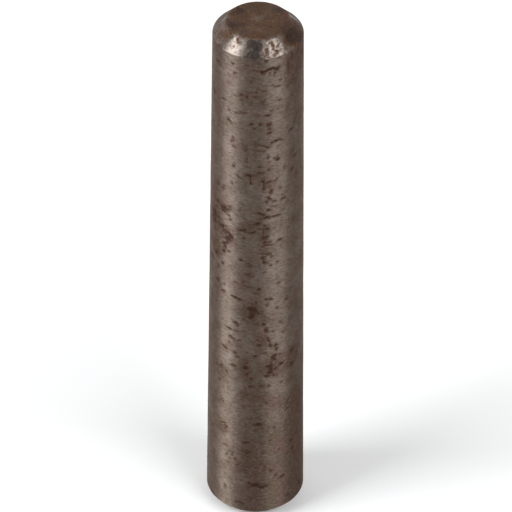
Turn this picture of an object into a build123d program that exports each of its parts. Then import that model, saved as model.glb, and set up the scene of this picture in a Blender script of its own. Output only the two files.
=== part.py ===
from build123d import *
import os

# A plain taper pin, the kind that is driven through a reamed hole to lock a hub to its shaft.
# It is one piece of turned steel: a slim cone with a flat face and a 45 degree chamfer at each end.
# Millimetres, +Z up the pin's axis. The origin is the centre of the large end's face, on which it stands.

# Driving dimensions
small_end_diameter = 8.0  # nominal size: the cone's diameter in the plane of the small end's face
pin_length = 55.0  # from face to face
taper = 1 / 50  # diameter gained for each millimetre of length
chamfer_leg = 1.2  # height and depth of both 45 degree chamfers
edge_radius = 0.2  # soft round on the corners of both chamfers


def cone_radius(height):
    """Radius of the full cone, chamfers aside, at a height above the large end's face."""
    return (small_end_diameter + (pin_length - height) * taper) / 2


def half_section():
    """Half of the pin's lengthways section, from its axis out to the tapered wall."""
    bottom = 0.0
    top = pin_length
    wall_bottom = bottom + chamfer_leg
    wall_top = top - chamfer_leg
    outline = Polyline(
        (0, bottom),
        (cone_radius(wall_bottom) - chamfer_leg, bottom),
        (cone_radius(wall_bottom), wall_bottom),
        (cone_radius(wall_top), wall_top),
        (cone_radius(wall_top) - chamfer_leg, top),
        (0, top),
        close=True,
    )
    section = make_face(outline)
    outer_corners = section.vertices().filter_by(lambda corner: corner.X > 0)
    return Plane.XZ * fillet(outer_corners, edge_radius)


def make_taper_pin():
    """The whole pin, turned about its axis."""
    return revolve(half_section(), Axis.Z)


os.makedirs("parts", exist_ok=True)
export_step(make_taper_pin(), "parts/taper_pin.step")
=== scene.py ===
# A taper pin of turned carbon steel, standing on its large end, with its worn brown film and rust.
import bpy
import bmesh
import math
import random
import numpy as np
from mathutils import Matrix, Vector, noise


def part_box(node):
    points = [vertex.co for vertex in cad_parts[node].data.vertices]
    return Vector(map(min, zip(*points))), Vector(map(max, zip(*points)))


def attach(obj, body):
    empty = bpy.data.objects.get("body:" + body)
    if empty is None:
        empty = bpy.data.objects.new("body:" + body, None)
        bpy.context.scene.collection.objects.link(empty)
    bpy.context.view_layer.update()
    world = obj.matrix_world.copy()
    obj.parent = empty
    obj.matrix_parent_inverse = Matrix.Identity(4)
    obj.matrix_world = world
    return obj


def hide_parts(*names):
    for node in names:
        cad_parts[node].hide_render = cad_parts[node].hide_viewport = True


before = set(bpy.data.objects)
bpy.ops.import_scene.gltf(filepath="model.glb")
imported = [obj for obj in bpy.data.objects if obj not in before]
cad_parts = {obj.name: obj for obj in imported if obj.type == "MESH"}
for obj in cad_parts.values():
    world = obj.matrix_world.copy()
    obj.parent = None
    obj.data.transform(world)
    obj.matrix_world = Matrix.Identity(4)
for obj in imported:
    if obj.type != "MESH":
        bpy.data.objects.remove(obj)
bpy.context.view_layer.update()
mm = 0.001  # lengths below are in millimetres, and the scene is in metres
boxLow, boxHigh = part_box("taper_pin")
pinLength = (boxHigh.z - boxLow.z) / mm
print(f"packed pin loaded, {pinLength:.1f} mm long")

pinShape = {
    "smallEnd": 8.0,  # mm across the cone in the plane of the small end's face
    "taper": 1 / 50,  # mm of diameter gained for each mm of length
    "chamfer": 1.2,  # mm, both legs of the 45 degree chamfers
    "edgeRound": 0.2,  # mm, soft round on the chamfers' corners
    "roundSteps": 4,
    "facets": 180,  # round the pin
    "wallRow": 0.118,  # mm, height of one row of faces on the wall
    "chamferRow": 0.15,
    "faceRow": 0.3,
    "weld": 0.0005,  # mm, closes the faces on the axis
}
wallHead = pinLength - pinShape["chamfer"]  # mm, where the small end's chamfer starts


def coneRadius(height):
    return (pinShape["smallEnd"] + (pinLength - height) * pinShape["taper"]) / 2


def halfSection(bm):
    # from the axis out over the large end, up the tapered wall and back in over the small end
    chamfer = pinShape["chamfer"]
    wallFoot = chamfer
    outline = [
        (0, 0),
        (coneRadius(wallFoot) - chamfer, 0),
        (coneRadius(wallFoot), wallFoot),
        (coneRadius(wallHead), wallHead),
        (coneRadius(wallHead) - chamfer, pinLength),
        (0, pinLength),
    ]
    corners = [bm.verts.new((radius * mm, 0, height * mm)) for radius, height in outline]
    for start, end in zip(corners, corners[1:]):
        bm.edges.new((start, end))
    cornerTurn = math.radians(45)
    tangent = pinShape["edgeRound"] * math.tan(cornerTurn / 2) * mm
    bmesh.ops.bevel(bm, geom=corners[1:-1], offset=tangent, offset_type="OFFSET",
                    profile_type="SUPERELLIPSE", profile=0.5, segments=pinShape["roundSteps"],
                    affect="VERTICES", material=-1)
    for edge in list(bm.edges):
        rise = abs(edge.verts[0].co.z - edge.verts[1].co.z)
        run = abs(edge.verts[0].co.x - edge.verts[1].co.x)
        if rise > pinLength / 2 * mm:  # the wall
            row = pinShape["wallRow"]
        elif rise < run / 100:  # a face
            row = pinShape["faceRow"]
        else:
            row = pinShape["chamferRow"]
        cuts = round(math.hypot(rise, run) / (row * mm)) - 1
        if cuts > 0:
            bmesh.ops.subdivide_edges(bm, edges=[edge], cuts=cuts)


# Rust on the wall: degrees round from the front, height in mm, length and width in mm, tilt in
# degrees, and how heavy the rust is
wallRust = [
    # soft patches of fine crumbs
    (-50, 36.5, 1.9, 1.0, 6, 0.35),
    (-50, 33.5, 1.6, 1.5, 0, 0.2),
    (-64, 34.8, 1.0, 1.7, 0, 0.4),
    (-48, 33.8, 1.6, 1.2, 10, 0.05),
    (-57, 31.3, 1.2, 1.4, 0, 0.05),
    (9, 33.8, 0.8, 2.0, 0, 0.0),
    (-7, 35.3, 1.5, 0.8, 10, 0.15),
    (-4, 25.4, 1.5, 2.0, 0, 0.2),
    (19, 18.7, 1.6, 2.0, 0, 0.05),
    (5, 21.6, 1.0, 1.8, 0, 0.05),
    (50, 18.9, 1.3, 2.2, 0, 0.2),
    (-11, 18.4, 0.8, 2.2, 0, 0.1),
    (-8, 8.3, 1.0, 1.4, 0, 0.15),
    (57, 51.9, 1.7, 2.6, -15, 0.2),
    (4, 4.3, 1.8, 0.7, 0, 0.1),
    (55, 7.3, 1.2, 1.8, 0, 0.2),
    (60, 12.9, 1.2, 2.4, 0, 0.1),
    (-4, 15.3, 1.8, 0.9, 0, 0.05),
    (-48, 17.3, 1.6, 1.8, 0, 0.1),
    (-46, 10.6, 1.3, 1.3, 0, 0.05),
    # marks, roughly from the small end down
    (11, 53.6, 0.45, 0.22, 0, 1.2),
    (48, 53.3, 0.36, 1.2, 10, 0.9),
    (60, 53.4, 0.5, 0.9, -15, 0.9),
    (72, 52.8, 0.8, 1.4, 0, 0.6),
    (-32.5, 52.8, 0.26, 0.26, 0, 0.7),
    (27, 52.7, 0.4, 0.2, 20, 1.0),
    (2, 52.55, 0.9, 0.22, -5, 0.8),
    (17, 52.66, 1.0, 0.38, 0, 1.6),
    (43, 52.5, 0.45, 1.2, 10, 0.5),
    (60, 52.5, 0.3, 0.8, 10, 0.6),
    (11.5, 52.52, 0.5, 0.26, 20, 1.4),
    (15, 52.2, 0.16, 0.4, 0, 0.7),
    (7, 52.36, 0.5, 0.42, 0, 1.8),
    (13.5, 52.2, 0.2, 0.3, 0, 0.6),
    (24, 52.5, 0.55, 0.46, 0, 1.5),
    (21.5, 52.25, 0.24, 0.36, 0, 0.9),
    (-60, 52.1, 0.6, 0.5, 0, 0.8),
    (21, 51.95, 0.24, 0.3, 0, 0.7),
    (-29.5, 51.9, 0.36, 0.22, 5, 0.6),
    (-5, 51.7, 0.3, 0.2, 0, 0.5),
    (57, 51.5, 0.6, 1.0, 0, 0.6),
    (-8.5, 51.3, 0.4, 0.18, 0, 0.4),
    (28.5, 51.22, 0.34, 0.2, 10, 0.5),
    (19.5, 50.85, 0.35, 0.2, 0, 0.6),
    (26, 50.6, 0.75, 0.18, 3, 0.6),
    (52, 50.6, 0.5, 0.5, 0, 0.4),
    (-38.5, 50.6, 0.5, 0.16, -30, 0.3),
    (2, 50.4, 0.4, 0.22, 0, 0.8),
    (7.5, 50.38, 0.5, 0.28, 0, 1.1),
    (-7, 50.2, 0.9, 0.22, 3, 0.5),
    (41.5, 50.2, 0.4, 0.25, 0, 0.5),
    (-20, 49.7, 0.4, 0.26, 0, 1.0),
    (-3.5, 49.7, 0.3, 0.2, 0, 0.6),
    (-13, 49.62, 0.42, 0.26, -15, 1.1),
    (-19, 49.2, 0.35, 0.22, 0, 0.8),
    (5, 49.12, 0.5, 0.2, 0, 0.8),
    (28.5, 49.05, 0.34, 0.26, 15, 0.8),
    (-48, 48.6, 0.6, 0.26, 0, 0.9),
    (-69, 48.4, 0.6, 0.6, 0, 0.8),
    (17, 48.05, 0.28, 0.22, 0, 0.6),
    (-17.5, 47.86, 0.95, 0.18, 0, 0.8),
    (-2, 47.7, 0.5, 0.4, 0, 0.3),
    (-26, 47.7, 0.9, 0.16, -3, 0.7),
    (12.5, 47.62, 0.6, 0.24, 12, 1.0),
    (-38.5, 47.6, 0.3, 0.2, 10, 0.4),
    (3, 46.76, 0.46, 0.34, -30, 1.4),
    (-7, 46.72, 0.42, 0.28, 0, 1.2),
    (14.5, 46.55, 0.5, 0.45, 0, 0.8),
    (-36.8, 46.5, 0.65, 0.3, -48, 0.9),
    (-3.5, 46.17, 0.34, 0.28, 0, 1.2),
    (14.5, 46.05, 0.45, 0.3, 0, 1.0),
    (54, 46.0, 0.3, 0.8, -20, 0.4),
    (15, 45.68, 0.5, 0.26, 8, 0.8),
    (47, 45.26, 0.6, 0.26, 5, 0.9),
    (-31.5, 44.75, 0.2, 0.5, 0, 0.2),
    (24, 44.72, 0.95, 0.28, 6, 1.2),
    (17.5, 44.62, 0.45, 0.4, 50, 1.1),
    (31, 44.6, 0.4, 0.2, -10, 0.9),
    (-33, 44.35, 0.4, 0.14, -8, 0.3),
    (4.5, 44.35, 0.8, 0.2, -12, 0.9),
    (12.5, 44.1, 0.6, 0.26, 0, 1.1),
    (26, 44.05, 0.25, 0.2, 0, 0.5),
    (-29, 43.85, 0.5, 0.24, -8, 0.7),
    (-0.5, 43.85, 0.6, 0.3, 0, 0.6),
    (-14, 43.75, 0.4, 0.3, 0, 0.5),
    (6, 43.68, 0.8, 0.2, 0, 0.5),
    (13, 43.0, 0.3, 0.5, 0, 0.7),
    (48, 42.8, 0.5, 0.4, 0, 0.6),
    (23, 42.75, 0.4, 0.5, -30, 0.5),
    (-12.5, 42.65, 0.24, 0.9, 0, 0.6),
    (25.5, 42.6, 0.45, 0.4, 0, 1.2),
    (-12.5, 42.45, 0.34, 0.28, 0, 0.7),
    (14, 42.4, 0.3, 0.3, 0, 0.5),
    (53, 42.1, 0.55, 0.3, 0, 0.8),
    (2.5, 41.97, 0.45, 0.24, 0, 0.8),
    (-29, 41.6, 0.38, 0.28, 0, 0.9),
    (13.5, 41.6, 0.35, 0.3, 0, 0.6),
    (36, 41.4, 0.3, 0.4, 0, 0.3),
    (3.5, 41.27, 0.55, 0.34, 0, 1.0),
    (-9.5, 40.95, 0.75, 0.42, 0, 1.6),
    (48, 40.75, 0.5, 0.4, 0, 0.7),
    (-20.5, 40.58, 0.85, 0.24, -26, 1.1),
    (-8, 40.5, 0.3, 0.8, 0, 1.3),
    (6.5, 40.35, 0.45, 0.36, 0, 1.4),
    (24.5, 40.3, 0.2, 0.5, 0, 0.4),
    (21, 40.2, 0.4, 0.18, 10, 0.5),
    (14.5, 40.17, 0.7, 0.22, 0, 0.9),
    (-7.5, 40.03, 0.42, 0.3, 0, 1.3),
    (57, 39.9, 0.3, 0.7, 0, 0.7),
    (7.5, 39.85, 0.28, 0.8, 0, 1.0),
    (-32, 39.7, 0.3, 0.4, 0, 0.3),
    (7, 39.5, 0.4, 0.3, 0, 0.8),
    (30, 39.25, 0.3, 0.3, 0, 0.4),
    (17, 39.05, 0.34, 0.8, -8, 0.75),
    (-47.5, 38.9, 0.4, 0.3, 0, 0.6),
    (-56.5, 38.7, 0.5, 0.34, 10, 0.8),
    (12.5, 38.55, 0.5, 0.22, 0, 0.9),
    (-47.5, 38.55, 0.42, 0.3, 0, 0.7),
    (33.5, 38.4, 0.3, 0.25, 0, 0.4),
    (15, 38.3, 0.34, 0.5, 20, 1.0),
    (21.5, 37.96, 0.5, 0.22, 5, 0.8),
    (12.5, 37.95, 0.42, 0.28, 0, 1.0),
    (34.5, 37.95, 0.5, 0.3, 5, 0.7),
    (-19, 37, 0.38, 0.18, 0, 0.5),
    (21.5, 37.25, 0.42, 0.18, 0, 0.8),
    (13.5, 37.02, 0.48, 0.24, 0, 1.0),
    (-35, 36.88, 0.34, 0.3, 0, 0.5),
    (-57, 36.6, 0.5, 0.45, -20, 1.1),
    (3, 36.72, 0.95, 0.3, -10, 1.1),
    (7.5, 36.55, 0.55, 0.4, -10, 1.3),
    (-37.5, 36.48, 0.7, 0.26, -3, 0.8),
    (-42.5, 36.5, 0.45, 0.34, 0, 1.1),
    (-48, 36.4, 1.2, 0.5, 4, 0.9),
    (-53, 34.9, 0.9, 0.22, -8, 0.8),
    (-40, 36.3, 0.6, 0.34, 0, 0.7),
    (-46.5, 36.05, 0.8, 0.4, 0, 0.9),
    (-60, 35.95, 0.5, 0.34, 0, 0.7),
    (11, 36.24, 0.75, 0.36, -8, 1.5),
    (24, 36.2, 1.15, 0.22, -2, 0.75),
    (5, 36.1, 0.6, 0.2, 0, 0.9),
    (-37, 35.9, 0.3, 0.36, 0, 1.0),
    (1, 35.6, 0.5, 0.42, 0, 1.9),
    (-34.5, 35.45, 0.36, 0.3, 0, 0.6),
    (-8, 35.4, 0.8, 0.4, 15, 0.6),
    (9, 35.3, 0.28, 0.5, 0, 0.9),
    (5, 34.9, 1.0, 0.22, 0, 1.1),
    (12, 34.85, 0.45, 0.3, -20, 1.3),
    (-17, 34.65, 0.95, 0.32, 3, 1.4),
    (-4.5, 34.62, 0.8, 0.26, 20, 1.0),
    (-64.5, 34.9, 0.95, 1.6, 0, 1.1),
    (-40.5, 34.55, 0.3, 0.26, 0, 0.5),
    (-9, 34.5, 0.75, 0.3, 5, 1.2),
    (7.5, 34.5, 0.34, 0.6, 0, 1.0),
    (-55.5, 34.3, 0.5, 0.5, 0, 0.8),
    (-47, 34.3, 0.5, 0.45, 0, 1.2),
    (-63, 34.15, 0.75, 0.7, 0, 1.2),
    (-50.5, 34.1, 0.9, 0.26, -3, 1.1),
    (-43.5, 34.0, 0.9, 0.26, -3, 1.1),
    (12.5, 34.0, 0.5, 0.22, 0, 1.0),
    (8, 33.9, 0.5, 0.5, 0, 1.2),
    (-38.5, 33.98, 0.5, 0.24, 0, 0.9),
    (-36.5, 33.8, 0.5, 0.34, 0, 1.1),
    (-43.5, 33.72, 1.0, 0.4, 3, 0.9),
    (-15.5, 33.75, 0.34, 0.3, 0, 0.8),
    (-33, 33.58, 0.6, 0.45, -40, 1.2),
    (9.5, 33.4, 0.45, 0.6, 0, 1.1),
    (14, 33.4, 0.7, 0.26, -5, 0.9),
    (30, 33.3, 0.65, 0.3, 5, 1.0),
    (-36, 33.2, 0.8, 0.62, 0, 1.4),
    (-41, 33.1, 0.5, 0.4, 0, 1.0),
    (13.5, 33.0, 1.1, 0.24, -3, 1.1),
    (6.5, 32.9, 0.4, 0.22, 0, 0.9),
    (-38.5, 32.75, 0.42, 0.6, -20, 0.9),
    (-44.5, 32.35, 0.7, 0.5, 0, 1.1),
    (-57, 32.2, 0.3, 0.4, 0, 0.5),
    (-42.3, 32.1, 0.5, 0.42, -10, 1.1),
    (8, 32.1, 0.9, 0.28, 0, 1.4),
    (14.5, 32, 0.55, 0.22, -15, 1.0),
    (-36, 31.8, 0.42, 0.36, 0, 0.15),
    (18.5, 31.7, 0.3, 0.3, -60, 0.7),
    (7.5, 31.6, 0.42, 0.5, 0, 1.3),
    (-46.5, 31.85, 0.34, 0.34, 0, 0.9),
    (-45.5, 31.5, 0.6, 0.4, 0, 1.0),
    (-17.5, 31.2, 0.65, 0.28, -5, 1.3),
    (9.5, 31.1, 0.5, 0.3, 15, 1.4),
    (-9.5, 30.9, 0.42, 0.26, 0, 1.1),
    (26.5, 30.88, 0.3, 0.28, 0, 0.5),
    (-58.5, 30.65, 0.8, 0.6, 0, 0.9),
    (-7, 30.65, 0.5, 0.3, 0, 0.5),
    (16.5, 30.65, 0.36, 0.24, 0, 0.5),
    (-47, 30.0, 0.5, 0.3, 10, 0.6),
    (-68, 29.7, 0.7, 0.6, 0, 0.6),
    (10.5, 29.94, 0.4, 0.18, 0, 0.7),
    (-7.5, 29.7, 0.5, 0.2, 0, 0.8),
    (-10.5, 29.62, 0.42, 0.24, 10, 0.8),
    (-5, 29.5, 0.34, 0.24, -30, 1.0),
    (-54.5, 29.4, 0.5, 0.4, 10, 0.6),
    (-9, 29.4, 0.3, 0.2, 0, 0.7),
    (-15.5, 28.72, 0.34, 0.28, 0, 0.6),
    (-25.5, 28.45, 0.5, 0.22, 0, 0.3),
    (28.5, 28.4, 0.3, 0.3, 0, 0.45),
    (-8.5, 28.2, 0.35, 0.2, 0, 0.4),
    (3.5, 27.98, 0.5, 0.3, 0, 1.5),
    (-55.5, 27.75, 0.6, 0.34, 15, 0.8),
    (-42.5, 27.75, 0.3, 0.3, 0, 0.1),
    (2.5, 27.56, 0.5, 0.24, -8, 1.2),
    (-45, 26.8, 0.5, 0.24, 12, 0.7),
    (12, 26.76, 0.5, 0.28, 0, 1.2),
    (17, 26.75, 0.42, 0.28, 10, 1.1),
    (-27, 26.68, 0.95, 0.26, -2, 1.3),
    (-20.5, 26.58, 0.5, 0.32, -10, 1.5),
    (0, 26.45, 0.34, 0.5, 0, 1.3),
    (41, 26.2, 0.5, 0.5, 10, 0.8),
    (12.5, 26.1, 0.3, 0.34, 0, 0.7),
    (-5.5, 26.2, 0.34, 0.4, 0, 1.0),
    (-9.7, 25.72, 0.5, 0.45, 0, 1.6),
    (-1.5, 25.65, 0.7, 1.1, 0, 1.1),
    (26, 25.6, 0.3, 0.3, 0, 0.5),
    (-5.5, 25.55, 0.6, 1.1, 0, 1.1),
    (2, 25.35, 0.4, 0.9, 0, 0.8),
    (-5, 25.15, 0.8, 0.5, 0, 1.1),
    (-68, 25.3, 0.6, 0.4, 0, 0.6),
    (-5.5, 24.85, 0.7, 0.7, 0, 1.1),
    (-7.5, 24.6, 0.4, 0.4, 0, 1.2),
    (-12, 24.3, 0.5, 0.3, 0, 0.4),
    (8.5, 24.2, 0.2, 0.4, 0, 0.5),
    (8.5, 23.8, 0.36, 0.3, 0, 1.0),
    (31.5, 23.75, 0.3, 0.3, 0, 0.4),
    (-25, 23.7, 0.6, 0.28, -2, 1.1),
    (-22.5, 23.5, 0.3, 0.26, -40, 1.0),
    (11.5, 23.25, 0.32, 0.55, 0, 1.0),
    (11.5, 22.95, 0.5, 0.2, 0, 0.8),
    (20.5, 22.93, 0.36, 0.2, 0, 0.7),
    (-33, 22.85, 0.75, 0.22, -3, 0.9),
    (-24.5, 22.8, 0.6, 0.2, 0, 0.6),
    (36, 22.45, 0.55, 0.24, 0, 0.8),
    (2.5, 22.0, 0.5, 0.4, 0, 1.0),
    (14, 22.0, 1.05, 0.3, -64, 1.0),
    (-33.5, 21.9, 0.5, 0.26, -6, 0.9),
    (-28, 21.75, 0.7, 0.22, -5, 0.9),
    (-20.5, 21.7, 0.6, 0.2, 0, 0.6),
    (4, 21.4, 0.65, 0.5, -10, 0.9),
    (17.5, 21.2, 0.4, 0.5, 0, 0.8),
    (-35, 21.2, 0.25, 0.25, 0, 0.5),
    (24.5, 21.15, 0.4, 0.42, 0, 1.1),
    (26, 20.7, 0.36, 0.5, -10, 1.0),
    (9.5, 20.48, 0.5, 0.2, 0, 0.8),
    (-11, 20.47, 0.35, 0.28, 0, 0.7),
    (-44, 20.4, 0.5, 0.22, 0, 0.4),
    (-40, 20.3, 0.42, 0.3, 0, 0.6),
    (-25.5, 20.2, 0.4, 0.3, 0, 0.7),
    (-1.5, 20.1, 0.5, 0.34, 0, 1.7),
    (24, 20.0, 0.5, 0.3, 5, 1.2),
    (30, 19.9, 0.4, 0.24, 0, 0.4),
    (51, 19.9, 0.4, 0.5, 0, 0.6),
    (-21, 19.8, 0.6, 0.24, 0, 0.6),
    (20.5, 19.75, 0.36, 0.7, 10, 1.1),
    (22.5, 19.8, 0.6, 0.6, 0, 0.4),
    (23.7, 19.55, 0.42, 0.42, 0, 0.9),
    (48.5, 19.6, 0.5, 0.7, 0, 1.0),
    (21.5, 19.42, 0.6, 0.26, 5, 0.9),
    (-11, 19.2, 0.5, 0.3, 0, 1.2),
    (18.5, 19.15, 0.4, 0.3, 0, 1.1),
    (37, 18.95, 0.5, 0.24, 10, 0.6),
    (16, 18.82, 0.9, 0.4, 0, 1.5),
    (32.5, 18.8, 0.7, 0.42, 2, 1.2),
    (-11.5, 18.62, 0.7, 0.55, 0, 1.7),
    (-26.5, 18.6, 0.7, 0.26, 0, 0.9),
    (18.5, 18.4, 0.42, 0.7, 0, 1.2),
    (24, 18.4, 0.4, 0.4, 30, 1.0),
    (5.5, 18.35, 0.5, 0.2, 0, 0.4),
    (50, 18.1, 0.75, 0.6, -10, 0.9),
    (17.5, 18.05, 0.75, 0.4, 5, 1.4),
    (-47.5, 17.85, 0.4, 0.36, 0, 0.8),
    (-11, 17.8, 0.36, 0.8, 0, 1.2),
    (12.5, 17.65, 0.65, 0.46, 5, 1.4),
    (-37.5, 17.65, 0.5, 0.28, 5, 0.6),
    (21.5, 17.6, 0.3, 0.5, 0, 0.8),
    (-4.3, 17.32, 0.32, 0.34, 0, 1.2),
    (15.5, 16.5, 0.36, 0.26, 0, 0.8),
    (33, 16.5, 0.35, 0.24, 0, 0.5),
    (6.5, 16.47, 0.55, 0.28, 0, 1.2),
    (-5.5, 16.45, 0.62, 0.38, 0, 1.7),
    (-50, 16.2, 0.34, 0.5, 10, 0.8),
    (-11, 16.1, 0.3, 0.9, 0, 0.5),
    (-7.5, 15.47, 0.5, 0.34, 0, 0.5),
    (-14, 15.6, 0.6, 0.34, 0, 0.4),
    (2, 15.4, 0.5, 0.3, 0, 0.3),
    (-2, 15.3, 0.6, 0.5, 0, 0.5),
    (8.5, 14.95, 0.4, 0.3, 0, 0.7),
    (-5.5, 14.85, 0.6, 0.3, 0, 0.6),
    (-15.5, 14.75, 0.5, 0.2, 0, 0.5),
    (11, 14.45, 0.4, 0.24, 0, 0.25),
    (5, 14.15, 0.3, 0.2, 0, 0.4),
    (43.5, 13.9, 0.42, 0.42, 0, 0.8),
    (-45, 13.7, 0.5, 0.4, 0, 0.35),
    (42, 13.65, 0.4, 0.4, 0, 0.7),
    (58, 13.3, 0.5, 0.6, 0, 0.6),
    (42.5, 12.98, 0.5, 0.34, 10, 0.9),
    (-5.5, 12.55, 0.4, 0.24, 0, 0.7),
    (61, 12.5, 0.5, 0.9, 0, 0.6),
    (6.5, 11.95, 0.3, 0.3, 0, 1.0),
    (2.5, 11.85, 0.85, 0.5, 0, 1.8),
    (8, 11.38, 0.36, 0.3, 0, 0.8),
    (22.5, 11.25, 0.42, 0.22, 0, 0.6),
    (-42, 11.2, 0.6, 0.26, 0, 1.1),
    (-38, 10.9, 0.5, 0.24, -5, 0.9),
    (-42.5, 10.1, 0.3, 0.3, 0, 0.3),
    (17, 9.83, 0.4, 0.26, 0, 0.8),
    (-10.5, 9.58, 0.85, 0.26, 0, 1.7),
    (7.5, 9.47, 0.4, 0.3, 0, 0.8),
    (28, 9.3, 0.35, 0.24, 0, 0.4),
    (49, 8.75, 0.95, 0.4, -10, 1.0),
    (-38.5, 8.55, 0.42, 0.2, 10, 0.25),
    (-9, 8.5, 0.8, 0.75, 0, 1.1),
    (29, 8.5, 0.35, 0.24, 0, 0.4),
    (8.5, 8.42, 0.42, 0.26, 0, 0.8),
    (-32, 8.0, 0.36, 0.16, 0, 0.25),
    (-9, 7.95, 0.6, 0.26, 0, 1.0),
    (-28, 7.7, 0.24, 0.3, 0, 0.25),
    (52, 7.65, 0.6, 0.5, 0, 1.0),
    (-35.5, 7.6, 0.2, 0.42, -20, 0.25),
    (43, 7.42, 0.34, 0.5, 0, 0.8),
    (-8.5, 7.35, 0.42, 0.26, 0, 0.8),
    (-31.5, 7.2, 0.4, 0.24, 0, 0.4),
    (-23.5, 7.2, 0.4, 0.3, 0, 0.4),
    (56, 6.9, 0.5, 0.8, 0, 0.7),
    (-33, 6.7, 0.45, 0.18, 0, 0.3),
    (10.5, 6.65, 0.3, 0.4, 0, 0.6),
    (-20, 6.65, 0.42, 0.24, 0, 0.8),
    (9.5, 6.2, 0.35, 0.3, 0, 0.7),
    (19.5, 6.0, 0.5, 0.3, 0, 0.8),
    (25, 5.4, 0.42, 0.28, 5, 0.7),
    (34.5, 4.88, 0.75, 0.32, 0, 1.2),
    (-7.3, 4.63, 0.44, 0.3, -10, 1.2),
    (-2.3, 4.42, 0.5, 0.5, 0, 1.6),
    (1.5, 4.4, 0.8, 0.66, 0, 2.0),
    (-5, 4.25, 0.6, 0.3, 0, 0.7),
    (12.3, 4.33, 0.6, 0.26, 8, 1.1),
    (7, 4.13, 0.7, 0.46, 0, 1.9),
    (2, 3.8, 0.5, 0.3, 0, 0.5),
    (-38, 3.5, 0.3, 0.5, 20, 0.3),
    (-4.5, 2.9, 0.6, 0.2, 0, 0.5),
    (66, 2.5, 0.6, 0.8, 0, 0.9),
    (43, 2.3, 0.6, 0.3, -5, 1.0),
    (-19, 2.05, 0.6, 0.26, -5, 1.1),
    (-14.5, 2.02, 0.7, 0.22, 0, 1.2),
]


# The same on the small end's chamfer, with the height given up its slope from the wall. Lengths here
# are laid out on the foot's wider radius, so they come out an eighth to a third shorter.
chamferRust = [
    (-35, 1.4, 0.34, 0.4, 25, 0.8),
    (-31.5, 1.2, 0.3, 0.34, 0, 0.9),
    (-39, 1.5, 0.5, 0.16, 0, 0.6),
    (-37, 0.75, 0.3, 0.26, -20, 0.1),
    (22, 1.33, 0.75, 0.17, 3, 1.3),
    (24, 1.08, 0.3, 0.36, 0, 0.9),
    (23.5, 0.92, 0.42, 0.18, -20, 0.8),
    (31.5, 1.02, 0.55, 0.15, 10, 1.0),
    (37.5, 1.2, 0.2, 0.3, 0, 0.5),
    (28, 0.9, 0.3, 0.18, 20, 0.8),
    (15, 1.15, 0.4, 0.16, 10, 0.7),
    (11.5, 0.62, 0.4, 0.65, 0, 0.95),
    (13, 0.85, 0.5, 0.18, 0, 0.9),
    (9, 0.25, 0.3, 0.3, 0, 0.8),
    (5, 0.5, 0.2, 0.4, 0, 0.4),
    (26.5, 0.46, 0.6, 0.34, 0, 1.05),
    (22, 0.64, 0.5, 0.18, -30, 1.0),
    (33, 0.66, 0.3, 0.24, 0, 0.7),
    (21, 0.2, 0.3, 0.24, 0, 0.9),
    (36, 0.14, 0.34, 0.2, 0, 0.9),
    (14, 0.1, 0.34, 0.18, 0, 0.9),
]

# How thick the brown film lies on the ends. The face has 1 and the chamfer 0, and these soft patches
# add to that: x, y and reach in mm, and how much
endFilm = [
    # on the face
    (-0.1, 0.15, 0.5, -0.4),
    (-0.7, 0.1, 0.3, 0.2),
    (-0.75, 0.6, 0.4, -0.3),
    (0.25, -1.35, 0.4, -0.3),
    (-1.9, -1.85, 0.3, -0.45),
    (1.4, 0.0, 0.3, -0.25),
    (-1.5, 1.3, 0.35, 0.5),
    (-1.6, -0.6, 0.45, 0.4),
    (-1.2, -1.6, 0.45, 0.5),
    (1.5, 1.5, 0.4, 0.4),
    (-2.2, -1.0, 0.35, 0.5),
    (0.5, -2.4, 0.4, 0.4),
    (0.2, 1.8, 0.5, 0.1),
    (0.0, 2.65, 0.5, -0.6),
    (-1.4, 2.1, 0.4, -0.35),
    (-2.1, 1.4, 0.4, -0.2),
    (1.2, 0.4, 0.3, 0.3),
    (-2.75, 0.5, 0.35, -0.85),
    (-2.5, -0.5, 0.45, 0.7),
    # on the chamfer, round from the left by the front
    (-2.6, 2.4, 1.4, 0.85),
    (-3.2, 0.9, 0.6, 0.25),
    (-3.6, -0.2, 0.8, 0.45),
    (-3.3, -1.3, 0.6, 0.5),
    (-2.7, -1.7, 0.5, 0.75),
    (-2.2, -1.9, 0.35, 0.45),
    (-1.5, -2.5, 0.35, 0.6),
    (-1.9, -2.8, 0.8, -0.2),
    (0.4, -3.3, 0.9, -0.15),
    (2.55, -2.05, 0.45, 1.3),
    (3.1, -1.6, 0.7, 1.5),
    (3.4, -0.7, 0.9, 1.4),
    (3.3, 0.4, 0.6, 0.7),
    (2.95, 1.0, 0.35, -0.35),
    (2.7, 2.3, 1.2, 0.85),
    (0.0, 3.6, 1.3, 0.85),
]

strewn = {
    "seed": 7,
    "from": 84,  # degrees round from the front, by the right
    "to": 276,
    "marks": 190,
    "markHeight": (1.6, 53.6),  # mm, least and most
    "markWeight": (0.4, 1.3),
    "shortShare": 0.65,  # of all marks
    "shortLength": (0.25, 0.5),  # mm
    "longLength": (0.55, 1.2),  # mm
    "markWidth": (0.16, 0.38),  # mm
    "markTilt": 16,  # degrees, either way
    "clusters": 9,
    "clusterHeight": (3, 52),  # mm
    "patchLength": (1.2, 2.2),  # mm, the soft patch under a cluster
    "patchWidth": (1.2, 2.6),  # mm
    "patchWeight": 0.1,
    "clusterMarks": 9,
    "clusterTurn": 8,  # degrees round from a cluster's middle, either way
    "clusterRise": 1.0,  # mm
    "clusterWeight": (0.6, 1.6),
}


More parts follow.
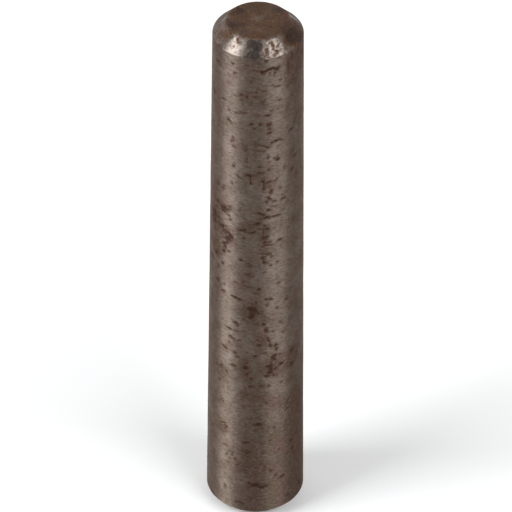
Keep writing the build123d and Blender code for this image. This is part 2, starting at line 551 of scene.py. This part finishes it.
def strewRust():
    # the far side, which has marks and clusters like those above at places of its own
    dice = random.Random(strewn["seed"])

    def pick(what):
        return dice.uniform(*strewn[what])

    def mark(angle, height, weight):
        length = pick("shortLength") if dice.random() < strewn["shortShare"] else pick("longLength")
        return (angle, height, length, pick("markWidth"), dice.gauss(0, strewn["markTilt"]), weight)

    spots = []
    for _ in range(strewn["marks"]):
        angle = dice.uniform(strewn["from"], strewn["to"])
        spots.append(mark(angle, pick("markHeight"), pick("markWeight")))
    for _ in range(strewn["clusters"]):
        angle = dice.uniform(strewn["from"], strewn["to"])
        height = pick("clusterHeight")
        patch = (pick("patchLength"), pick("patchWidth"))
        spots.append((angle, height, *patch, 0, strewn["patchWeight"]))
        for _ in range(strewn["clusterMarks"]):
            turned = angle + dice.gauss(0, strewn["clusterTurn"])
            raised = height + dice.gauss(0, strewn["clusterRise"])
            spots.append(mark(turned, raised, pick("clusterWeight")))
    return spots


def rustField(angle, height, spots):
    # a spot's weight in its middle, 0 at its rim and -1 well clear of all of them
    clear, heaviest = -1.0, 1.2
    field = np.full(len(angle), clear)
    for middle, level, length, width, tilt, weight in spots:
        near = np.abs(height - level) < max(length, width)  # further off it adds nothing
        turned = (angle[near] - middle + 180) % 360 - 180
        along = np.radians(turned) * coneRadius(level)
        up = height[near] - level
        slope = math.radians(tilt)
        across = (along * math.cos(slope) + up * math.sin(slope)) / (length / 2)
        upright = (up * math.cos(slope) - along * math.sin(slope)) / (width / 2)
        away = np.hypot(across, upright)
        spot = np.where(away < 1, weight * (1 - away ** 2), 1 - away)
        field[near] = np.maximum(field[near], spot)
    return np.minimum(field, heaviest)


# The wall's film also carries painted shade, darker towards the foot and towards the right side
filmAndShadeSpread = {
    "shadeThinAbove": 20,  # mm up the wall
    "shadeFullBelow": 5,  # mm
    "sideShadeGain": 0.3,  # painted shade in the film: stronger by this for each mm towards the right, and weaker towards the left
    "largeEndTop": 0.96,  # mm
    "largeEnd": (0.7, 1.0),  # least and most
    "smallEndDip": 0.3,  # mm that the small end's film reaches down over the wall
    "overFace": 0.1,  # mm that the face's film laps over its rim
    "faceFade": 0.25,  # mm
}


def filmAndShadeField(points, radius):
    # on the wall it is painted shade, growing towards the foot and more on one side, and the small
    # end has soft patches of film
    height = points[:, 2]
    fade = filmAndShadeSpread["shadeThinAbove"] - filmAndShadeSpread["shadeFullBelow"]
    down = np.clip((filmAndShadeSpread["shadeThinAbove"] - height) / fade, 0, 1)
    side = np.clip(1.0 + filmAndShadeSpread["sideShadeGain"] * points[:, 0], 0, 2)  # painted shade from none to twice as strong
    atLargeEnd = height < filmAndShadeSpread["largeEndTop"]
    field = np.where(atLargeEnd, np.clip(down * side, *filmAndShadeSpread["largeEnd"]), down * side)
    faceRadius = coneRadius(pinLength) - pinShape["chamfer"]
    onFace = np.clip((faceRadius + filmAndShadeSpread["overFace"] - radius) / filmAndShadeSpread["faceFade"], 0, 1)
    atSmallEnd = height > wallHead - filmAndShadeSpread["smallEndDip"]
    field = np.where(atSmallEnd, onFace, field)
    for x, y, reach, amount in endFilm:
        away = np.hypot(points[:, 0] - x, points[:, 1] - y)
        field += amount * np.exp(-(away / reach) ** 2) * atSmallEnd
    return field


wear = {
    "pitDepth": 0.03,  # mm that rust has eaten in
    "pitGain": 2.5,  # how soon a pit reaches its full depth inside its rim
    "waviness": 0.012,  # mm of slow unevenness left on the old surface
    "wavesPerMm": 0.35,
    "seed": 5,  # picks how the rims of the rust marks wander
    "bendsPerMm": 1.6,
    "bendReach": 0.1,  # mm that a rim strays in a long bend
    "jagsPerMm": 4,
    "jagReach": 0.09,  # mm, in a short jag
    "fraysPerMm": 2.2,
    "fray": 0.3,  # how much lighter or heavier the rust gets by chance
    "flatRadius": 3.0,  # mm, the faces stay flat inside this
    "flatFade": 0.5,  # mm
    "chamferInside": 2.55,  # mm from the axis, a little inside the face's rim
}


def wearSurface(mesh):
    points = np.empty(len(mesh.vertices) * 3)
    mesh.vertices.foreach_get("co", points)
    points = points.reshape(-1, 3) / mm
    # the spots are looked up from places that wander a little, which makes their rims ragged
    noise.seed_set(wear["seed"])
    places = [Vector(point) for point in points]
    wander = np.array([noise.noise_vector(place * wear["bendsPerMm"]) * wear["bendReach"]
                       + noise.noise_vector(place * wear["jagsPerMm"]) * wear["jagReach"]
                       for place in places])
    smoothness, finer, octaves = 0.7, 2.0, 3
    ragged = np.array([noise.fractal(place * wear["fraysPerMm"], smoothness, finer, octaves)
                       for place in places])
    slow = np.array([noise.noise(place * wear["wavesPerMm"]) for place in places])
    strayed = points + wander
    radius = np.hypot(points[:, 0], points[:, 1])
    strayedRadius = np.hypot(strayed[:, 0], strayed[:, 1])
    angle = np.degrees(np.arctan2(strayed[:, 0], -strayed[:, 1]))
    onChamfer = (points[:, 2] > wallHead) & (radius > wear["chamferInside"])
    farOff = -9.0  # mm, out of reach of every mark on the chamfer
    slopeUp = np.where(onChamfer, (strayed[:, 2] - wallHead) * math.sqrt(2), farOff)
    onWall = rustField(angle, strayed[:, 2], wallRust + strewRust())
    rust = np.maximum(onWall, rustField(angle, slopeUp, chamferRust))
    rust += wear["fray"] * ragged
    offAxis = np.clip((radius - wear["flatRadius"]) / wear["flatFade"], 0, 1)
    sunk = wear["pitDepth"] * np.clip(rust * wear["pitGain"], 0, 1) * offAxis
    sunk += wear["waviness"] * (slow + 0.5) * offAxis
    tiny = 0.001  # mm, so that nothing is divided by 0 on the axis
    points[:, :2] *= ((radius - sunk) / np.maximum(radius, tiny))[:, None]
    mesh.vertices.foreach_set("co", (points * mm).ravel())
    # the film attribute holds the real film and the wall's painted shade
    for name, values in (("rust", rust), ("filmAndShade", filmAndShadeField(strayed, strayedRadius))):
        layer = mesh.attributes.new(name, "FLOAT", "POINT")
        layer.data.foreach_set("value", values.astype(np.float32))


def turnPin():
    mesh = bpy.data.meshes.new("turned_pin")
    bm = bmesh.new()
    halfSection(bm)
    bmesh.ops.spin(bm, geom=bm.verts[:] + bm.edges[:], cent=(0, 0, 0), axis=(0, 0, 1), angle=math.tau,
                   steps=pinShape["facets"], use_merge=True, use_duplicate=False)
    bmesh.ops.remove_doubles(bm, verts=bm.verts, dist=pinShape["weld"] * mm)
    bmesh.ops.recalc_face_normals(bm, faces=bm.faces)
    wallSlot, endSlot = 0, 1
    leaning = math.sin(math.radians(22.5))  # half way from the wall to a chamfer
    for face in bm.faces:
        face.smooth = True
        face.material_index = wallSlot if abs(face.normal.z) < leaning else endSlot
    bm.to_mesh(mesh)
    bm.free()
    wearSurface(mesh)
    mesh.update()
    piece = bpy.data.objects.new("turned_pin", mesh)
    bpy.context.scene.collection.objects.link(piece)
    return piece


def hexToLinear(code):
    channels = [int(code[i:i + 2], 16) / 255 for i in (1, 3, 5)]
    return (*[c / 12.92 if c <= 0.04045 else ((c + 0.055) / 1.055) ** 2.4 for c in channels], 1.0)


def addNode(tree, kind, inputs, gives=None, **settings):
    # adds a node, fills or links the inputs that are named, and hands back the output to go on with
    node = tree.nodes.new("ShaderNode" + kind)
    for name, value in settings.items():
        setattr(node, name, value)
    for name, value in inputs.items():
        socket = next(s for s in node.inputs if s.enabled and name in (s.name, s.identifier))
        if isinstance(value, bpy.types.NodeSocket):
            tree.links.new(value, socket)
        else:
            socket.default_value = value
    return next((s for s in node.outputs if s.enabled and gives in (None, s.name)), None)


def startMaterial(name):
    material = bpy.data.materials.new(name)
    material.use_nodes = True
    tree = material.node_tree
    tree.nodes.clear()
    return material, tree


def startGrid(tree):
    # the object's own coordinates, with 1 mm as the unit
    place = addNode(tree, "TexCoord", {}, gives="Object")
    return addNode(tree, "Mapping", {"Vector": place, "Scale": (1 / mm, 1 / mm, 1 / mm)})


# A pattern's Scale is how many of its specks there are in 1 mm, across the pin both ways and then up
# it. Its Location only moves it, so that no two patterns lie on each other.
rustCrumbs = {"Location": (11, 5, 2), "Scale": (4.2, 4.2, 9)}


def rustOver(tree, grid, steel, finish):
    # Rust has ragged rims with a brown stain round them, and a dark crust inside. It lies in dashes
    # along the turning marks, which held the damp.
    rust = addNode(tree, "Attribute", {}, gives="Fac", attribute_name="rust")
    lie = addNode(tree, "Mapping", {"Vector": grid, **rustCrumbs})
    crumbs = addNode(tree, "TexNoise", {"Vector": lie, "Scale": 1.0, "Detail": 3.0,
                                        "Roughness": 0.65})
    ragged = addNode(tree, "Math", {"Value": crumbs, "Value_001": 2.2, "Value_002": -1.1},
                     operation="MULTIPLY_ADD")
    level = addNode(tree, "Math", {"Value": rust, "Value_001": ragged}, operation="ADD")
    stainShare = addNode(tree, "MapRange", {"Value": level, "From Min": -0.5, "From Max": 0.3,
                                            "To Max": finish["stainShare"]})
    crustShare = addNode(tree, "MapRange", {"Value": level, "From Min": 0.03, "From Max": 0.9})
    stained = addNode(tree, "Mix", {"Factor": stainShare, "A": steel,
                                    "B": hexToLinear(finish["stain"])}, data_type="RGBA")
    colour = addNode(tree, "Mix", {"Factor": crustShare, "A": stained,
                                   "B": hexToLinear(finish["crust"])}, data_type="RGBA")
    dullShare = addNode(tree, "MapRange", {"Value": level, "From Min": -0.25, "From Max": 0.45})
    return colour, dullShare


wallFinish = {
    "bare": "#786A60",
    # the film's brown, also painted as shade at the wall's foot and right side
    "filmAndShade": "#5F5044",
    "redFilm": "#624D44",
    "pepper": "#3E322B",
    "fleck": "#8E8178",
    "stain": "#50382C",
    "crust": "#37251D",
    "edgeTint": "#E8D2C6",  # the film shows most where the wall turns away
    "pepperShare": 0.6,
    "fleckShare": 0.45,
    "stainShare": 0.55,
    "haloFilm": 0.2,  # thicker film round the rust
    # how much the film attribute, painted shade included, browns the wall
    "filmAndShadeWeight": 0.3,
    "grainContrast": 0.33,
    "roughness": 0.57,
    "rustRoughness": 0.75,
    "metallic": 0.77,
    "rustMetallic": 0.42,
    "shine": 0.4,
    "rustShine": 0.2,
    "grainDepth": 0.02,  # mm
    "rustDepth": 0.03,  # mm
    "grainAcross": 0.42,  # mm, a broken turning mark
    "grainUpright": 0.13,  # mm; real marks are about 0.05 mm apart, drawn wider so that they show
    "mottle": 1.6,  # mm
    "pepperPlace": {"Location": (7, 7, 7), "Scale": (2.4, 2.4, 4.6)},
    "fleckPlace": {"Location": (31, 3, 9), "Scale": (3.4, 3.4, 4.8)},
    "tintPlace": {"Location": (3, 21, 5), "Scale": (0.5, 0.5, 0.3)},
}


def turnedWallSteel():
    # Carbon steel turned between centres, then years of handling: the fine marks round the pin draw
    # each soft light out into an upright streak, and a thin brown film dulls and mottles it.
    # The same brown is painted as shade towards the wall's foot and one side.
    material, tree = startMaterial("turned carbon steel, brown film and rust")
    grid = startGrid(tree)
    across, upright = 1 / wallFinish["grainAcross"], 1 / wallFinish["grainUpright"]
    marks = addNode(tree, "Mapping", {"Vector": grid, "Scale": (across, across, upright)})
    grain = addNode(tree, "TexNoise", {"Vector": marks, "Scale": 1.0, "Detail": 4.0,
                                       "Roughness": 0.6})
    pepperPlace = addNode(tree, "Mapping", {"Vector": grid, **wallFinish["pepperPlace"]})
    pepper = addNode(tree, "TexNoise", {"Vector": pepperPlace, "Scale": 1.0, "Detail": 3.0,
                                        "Roughness": 0.6})
    fleckPlace = addNode(tree, "Mapping", {"Vector": grid, **wallFinish["fleckPlace"]})
    flecks = addNode(tree, "TexNoise", {"Vector": fleckPlace, "Scale": 1.0, "Detail": 3.0,
                                        "Roughness": 0.6})
    mottle = addNode(tree, "TexNoise", {"Vector": grid, "Scale": 1 / wallFinish["mottle"],
                                        "Detail": 4.0})
    tintPlace = addNode(tree, "Mapping", {"Vector": grid, **wallFinish["tintPlace"]})
    tint = addNode(tree, "TexNoise", {"Vector": tintPlace, "Scale": 1.0, "Detail": 4.0,
                                      "Roughness": 0.6})
    # the film attribute brings in the painted shade at the foot and one side as well as the film
    filmAndShade = addNode(tree, "Attribute", {}, gives="Fac", attribute_name="filmAndShade")
    rust = addNode(tree, "Attribute", {}, gives="Fac", attribute_name="rust")
    halo = addNode(tree, "MapRange", {"Value": rust, "From Min": -1.0, "From Max": 0.0,
                                      "To Max": wallFinish["haloFilm"]})
    haloed = addNode(tree, "Math", {"Value": mottle, "Value_001": halo}, operation="ADD")
    filmAndShadeLevel = addNode(tree, "Math", {"Value": filmAndShade, "Value_001": wallFinish["filmAndShadeWeight"],
                                       "Value_002": haloed}, operation="MULTIPLY_ADD")
    filmAndShadeShare = addNode(tree, "MapRange", {"Value": filmAndShadeLevel, "From Min": 0.3, "From Max": 0.78})
    redShare = addNode(tree, "MapRange", {"Value": tint, "From Min": 0.42, "From Max": 0.62})
    brown = addNode(tree, "Mix", {"Factor": redShare, "A": hexToLinear(wallFinish["filmAndShade"]),
                                  "B": hexToLinear(wallFinish["redFilm"])}, data_type="RGBA")
    steel = addNode(tree, "Mix", {"Factor": filmAndShadeShare, "A": hexToLinear(wallFinish["bare"]),
                                  "B": brown}, data_type="RGBA")
    grainTone = addNode(tree, "MapRange", {"Value": grain, "From Min": 0.3, "From Max": 0.7,
                                           "To Min": 1 - wallFinish["grainContrast"],
                                           "To Max": 1 + wallFinish["grainContrast"]})
    grained = addNode(tree, "Mix", {"Factor": 1.0, "A": steel, "B": grainTone}, data_type="RGBA",
                      blend_type="MULTIPLY")
    fleckShare = addNode(tree, "MapRange", {"Value": flecks, "From Min": 0.54, "From Max": 0.74,
                                            "To Max": wallFinish["fleckShare"]})
    flecked = addNode(tree, "Mix", {"Factor": fleckShare, "A": grained,
                                    "B": hexToLinear(wallFinish["fleck"])}, data_type="RGBA")
    pepperShare = addNode(tree, "MapRange", {"Value": pepper, "From Min": 0.54, "From Max": 0.74,
                                             "To Max": wallFinish["pepperShare"]})
    peppered = addNode(tree, "Mix", {"Factor": pepperShare, "A": flecked,
                                     "B": hexToLinear(wallFinish["pepper"])}, data_type="RGBA")
    colour, dull = rustOver(tree, grid, peppered, wallFinish)
    metallic = addNode(tree, "MapRange", {"Value": dull, "To Min": wallFinish["metallic"],
                                          "To Max": wallFinish["rustMetallic"]})
    shine = addNode(tree, "MapRange", {"Value": dull, "To Min": wallFinish["shine"],
                                       "To Max": wallFinish["rustShine"]})
    roughness = addNode(tree, "MapRange", {"Value": dull, "To Min": wallFinish["roughness"],
                                           "To Max": wallFinish["rustRoughness"]})
    markBump = addNode(tree, "Bump", {"Height": grain, "Strength": 0.5,
                                      "Distance": wallFinish["grainDepth"] * mm})
    rustBump = addNode(tree, "Bump", {"Height": dull, "Strength": 0.5, "Normal": markBump,
                                      "Distance": wallFinish["rustDepth"] * mm}, invert=True)
    around = addNode(tree, "Tangent", {}, direction_type="RADIAL", axis="Z")
    shader = addNode(tree, "BsdfPrincipled", {"Base Color": colour, "Metallic": metallic,
                                              "Roughness": roughness, "Normal": rustBump,
                                              "Specular IOR Level": shine, "Anisotropic": 1.0,
                                              "Anisotropic Rotation": 0.25, "Tangent": around,
                                              "Specular Tint": hexToLinear(wallFinish["edgeTint"])})
    addNode(tree, "OutputMaterial", {"Surface": shader})
    return material


endFinish = {
    "bare": "#73675F",
    "thin": "#5F4E44",
    "filmAndShade": "#503826",
    "thick": "#37261E",
    "red": "#61382A",
    "stain": "#6C4D3A",
    "crust": "#4A2E20",
    "stainShare": 0.6,
    "redShare": 0.55,
    "fineContrast": 0.42,
    "bareRoughness": 0.35,
    "filmRoughness": 0.75,
    "bareMetallic": 1.0,
    "filmMetallic": 0.15,
    "fineDepth": 0.02,  # mm
}


def filmedEndSteel():
    # The sawn faces hold the thickest brown film, dull and mottled. The chamfer's cut is finer and
    # rubbed bare in places, so there it mirrors the lights almost white.
    material, tree = startMaterial("faced and chamfered steel, brown film")
    grid = startGrid(tree)
    mottle = addNode(tree, "TexNoise", {"Vector": grid, "Scale": 1.3, "Detail": 5.0,
                                        "Roughness": 0.65})
    redPlace = addNode(tree, "Mapping", {"Vector": grid, "Location": (9, 4, 0)})
    redNoise = addNode(tree, "TexNoise", {"Vector": redPlace, "Scale": 1.1, "Detail": 4.0,
                                          "Roughness": 0.6})
    finePlace = addNode(tree, "Mapping", {"Vector": grid, "Location": (15, 2, 0)})
    fine = addNode(tree, "TexNoise", {"Vector": finePlace, "Scale": 4.2, "Detail": 3.0,
                                      "Roughness": 0.6})
    # the film attribute; on the large end it holds the painted shade, kept between 0.7 and 1
    filmAndShade = addNode(tree, "Attribute", {}, gives="Fac", attribute_name="filmAndShade")
    level = addNode(tree, "Math", {"Value": mottle, "Value_001": 1.2, "Value_002": filmAndShade},
                    operation="MULTIPLY_ADD")
    thinShare = addNode(tree, "MapRange", {"Value": level, "From Min": 0.65, "From Max": 1.05})
    filmAndShadeShare = addNode(tree, "MapRange", {"Value": level, "From Min": 1.05, "From Max": 1.5})
    thickShare = addNode(tree, "MapRange", {"Value": level, "From Min": 1.55, "From Max": 2.2})
    redShare = addNode(tree, "MapRange", {"Value": redNoise, "From Min": 0.52, "From Max": 0.7,
                                          "To Max": endFinish["redShare"]})
    thin = addNode(tree, "Mix", {"Factor": thinShare, "A": hexToLinear(endFinish["bare"]),
                                 "B": hexToLinear(endFinish["thin"])}, data_type="RGBA")
    reddish = addNode(tree, "Mix", {"Factor": redShare, "A": hexToLinear(endFinish["filmAndShade"]),
                                    "B": hexToLinear(endFinish["red"])}, data_type="RGBA")
    filmed = addNode(tree, "Mix", {"Factor": filmAndShadeShare, "A": thin, "B": reddish}, data_type="RGBA")
    thick = addNode(tree, "Mix", {"Factor": thickShare, "A": filmed,
                                  "B": hexToLinear(endFinish["thick"])}, data_type="RGBA")
    fineTone = addNode(tree, "MapRange", {"Value": fine, "From Min": 0.3, "From Max": 0.7,
                                          "To Min": 1 - endFinish["fineContrast"],
                                          "To Max": 1 + endFinish["fineContrast"]})
    grained = addNode(tree, "Mix", {"Factor": 1.0, "A": thick, "B": fineTone}, data_type="RGBA",
                      blend_type="MULTIPLY")
    colour, dullRust = rustOver(tree, grid, grained, endFinish)
    dull = addNode(tree, "Math", {"Value": dullRust, "Value_001": thinShare}, operation="MAXIMUM")
    metallic = addNode(tree, "MapRange", {"Value": dull, "To Min": endFinish["bareMetallic"],
                                          "To Max": endFinish["filmMetallic"]})
    roughness = addNode(tree, "MapRange", {"Value": dull, "To Min": endFinish["bareRoughness"],
                                           "To Max": endFinish["filmRoughness"]})
    bump = addNode(tree, "Bump", {"Height": fine, "Strength": 0.4,
                                  "Distance": endFinish["fineDepth"] * mm})
    around = addNode(tree, "Tangent", {}, direction_type="RADIAL", axis="Z")
    shader = addNode(tree, "BsdfPrincipled", {"Base Color": colour, "Metallic": metallic,
                                              "Roughness": roughness, "Normal": bump,
                                              "Specular IOR Level": 0.3, "Anisotropic": 0.8,
                                              "Anisotropic Rotation": 0.25, "Tangent": around})
    addNode(tree, "OutputMaterial", {"Surface": shader})
    return material


pin = turnPin()
for finish in (turnedWallSteel(), filmedEndSteel()):
    pin.data.materials.append(finish)
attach(pin, "root")
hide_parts("taper_pin")
print(f"pin turned, {len(pin.data.polygons)} faces")

studio = {
    "paper": "#F8F3EF",
    "lampColour": (0.925, 1.0, 1.055),  # a little cool, the warm paper evens it out on the floor
    "paperWidth": 8.0,  # m
    "airStrength": 0.25,
    "lampDistance": 1.2,  # m from the middle of the pin
}

# degrees round from the front and up from the floor, degrees wide and tall as the pin sees it
softboxes = {
    "left": {"azimuth": -69, "elevation": 32, "wide": 30, "tall": 48, "radiance": 7.35},
    "right": {"azimuth": 47.5, "elevation": 38, "wide": 40, "tall": 36, "radiance": 5.2},
    "back": {"azimuth": 188, "elevation": 24, "wide": 104, "tall": 44, "radiance": 0.9},
}


def outward(azimuth, elevation):
    # unit vector away from the pin: azimuth 0 is towards the camera's side, -Y, and 90 is +X
    turn, lift = math.radians(azimuth), math.radians(elevation)
    level = math.cos(lift)
    return Vector((math.sin(turn) * level, -math.cos(turn) * level, math.sin(lift)))


def hangSoftbox(name, box):
    lamp = bpy.data.lights.new(name, "AREA")
    lamp.shape = "RECTANGLE"
    reach = studio["lampDistance"]
    lamp.size = 2 * reach * math.tan(math.radians(box["wide"] / 2))
    lamp.size_y = 2 * reach * math.tan(math.radians(box["tall"] / 2))
    lamp.energy = box["radiance"] * math.pi * lamp.size * lamp.size_y
    lamp.color = studio["lampColour"]
    holder = bpy.data.objects.new(name, lamp)
    away = outward(box["azimuth"], box["elevation"])
    holder.location = Vector((0, 0, pinLength / 2 * mm)) + away * reach
    holder.rotation_euler = away.to_track_quat("Z", "Y").to_euler()
    holder.visible_camera = False
    bpy.context.scene.collection.objects.link(holder)


def layPaper():
    mesh = bpy.data.meshes.new("studio_paper")
    bm = bmesh.new()
    bmesh.ops.create_grid(bm, x_segments=1, y_segments=1, size=studio["paperWidth"] / 2)
    bm.to_mesh(mesh)
    bm.free()
    paper = bpy.data.objects.new("studio_paper", mesh)
    bpy.context.scene.collection.objects.link(paper)
    material, tree = startMaterial("matt white paper")
    shader = addNode(tree, "BsdfDiffuse", {"Color": hexToLinear(studio["paper"])})
    addNode(tree, "OutputMaterial", {"Surface": shader})
    mesh.materials.append(material)


def lightAir():
    world = bpy.data.worlds.new("studio air")
    world.use_nodes = True
    background = world.node_tree.nodes["Background"]
    background.inputs["Color"].default_value = (1, 1, 1, 1)
    background.inputs["Strength"].default_value = studio["airStrength"]
    bpy.context.scene.world = world


for name, box in softboxes.items():
    hangSoftbox(f"softbox_{name}", box)
layPaper()
lightAir()
print("studio lit")

view = {
    "lens": 342.6,  # mm
    "sensor": 36,  # mm wide
    "distance": 441.6,  # mm from the point aimed at
    "elevation": 39.6,  # degrees above the floor
    "aimX": -0.05,  # mm
    "aimZ": 28.38,
    "roll": 0.393,  # degrees
}


def placeCamera():
    camera = bpy.data.objects.new("camera", bpy.data.cameras.new("camera"))
    camera.data.lens = view["lens"]
    camera.data.sensor_width = view["sensor"]
    aim = Vector((view["aimX"], 0, view["aimZ"])) * mm
    front = 0  # degrees
    eye = aim + outward(front, view["elevation"]) * view["distance"] * mm
    tilt = Matrix.Rotation(math.radians(90 - view["elevation"]), 4, "X")
    roll = Matrix.Rotation(math.radians(view["roll"]), 4, "Z")
    camera.matrix_world = Matrix.Translation(eye) @ tilt @ roll
    bpy.context.scene.collection.objects.link(camera)
    bpy.context.scene.camera = camera


placeCamera()
bpy.context.scene.view_settings.view_transform = "Standard"
print("camera placed")
